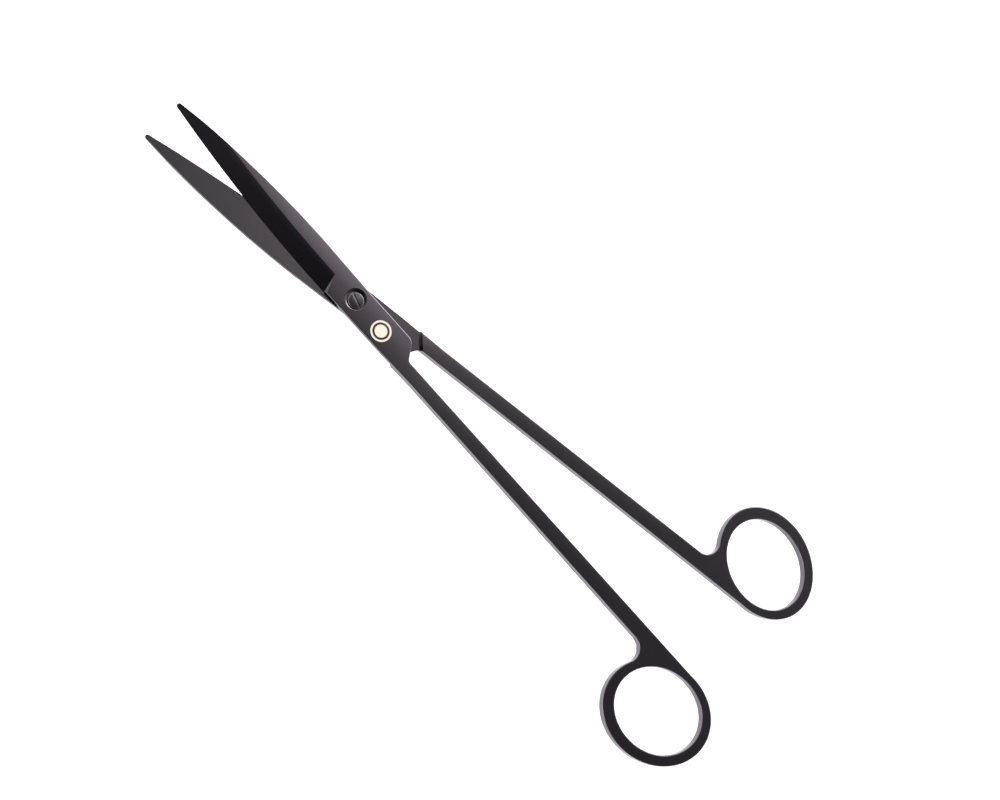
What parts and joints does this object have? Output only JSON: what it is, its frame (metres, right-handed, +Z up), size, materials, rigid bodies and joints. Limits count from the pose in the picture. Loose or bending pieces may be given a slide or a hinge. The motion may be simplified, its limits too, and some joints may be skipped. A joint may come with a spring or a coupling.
{
  "type": "aquascaping scissors",
  "caption": "Long straight-bladed scissors with slim flat handles and oval finger rings, lapped at a slotted pivot screw.",
  "frame": {"origin": "on the pivot screw's axis, at the level of the surface the scissors lie on", "axes": "+X from the pivot to the finger rings, midway between the two handles; +Y towards the rear half's handle; +Z up, out of the face that shows the screw head"},
  "size_m": [0.2465, 0.0926, 0.0028],
  "materials": {
    "coated_steel": "black satin coating over ground steel, brighter along the edges",
    "screw_steel": "black satin coating, turned head, worn brighter"
  },
  "bodies": {
    "rear": {"rear_half": "coated_steel", "pivot_screw": "screw_steel"},
    "front": {"front_half": "coated_steel"}
  },
  "joints": [
    {"name": "pivot", "type": "hinge", "parent": "rear", "child": "front", "pos_m": [0, 0, 0.0014], "axis": [0, 0, -1], "range_deg": [-10.2, 49.7]}
  ]
}
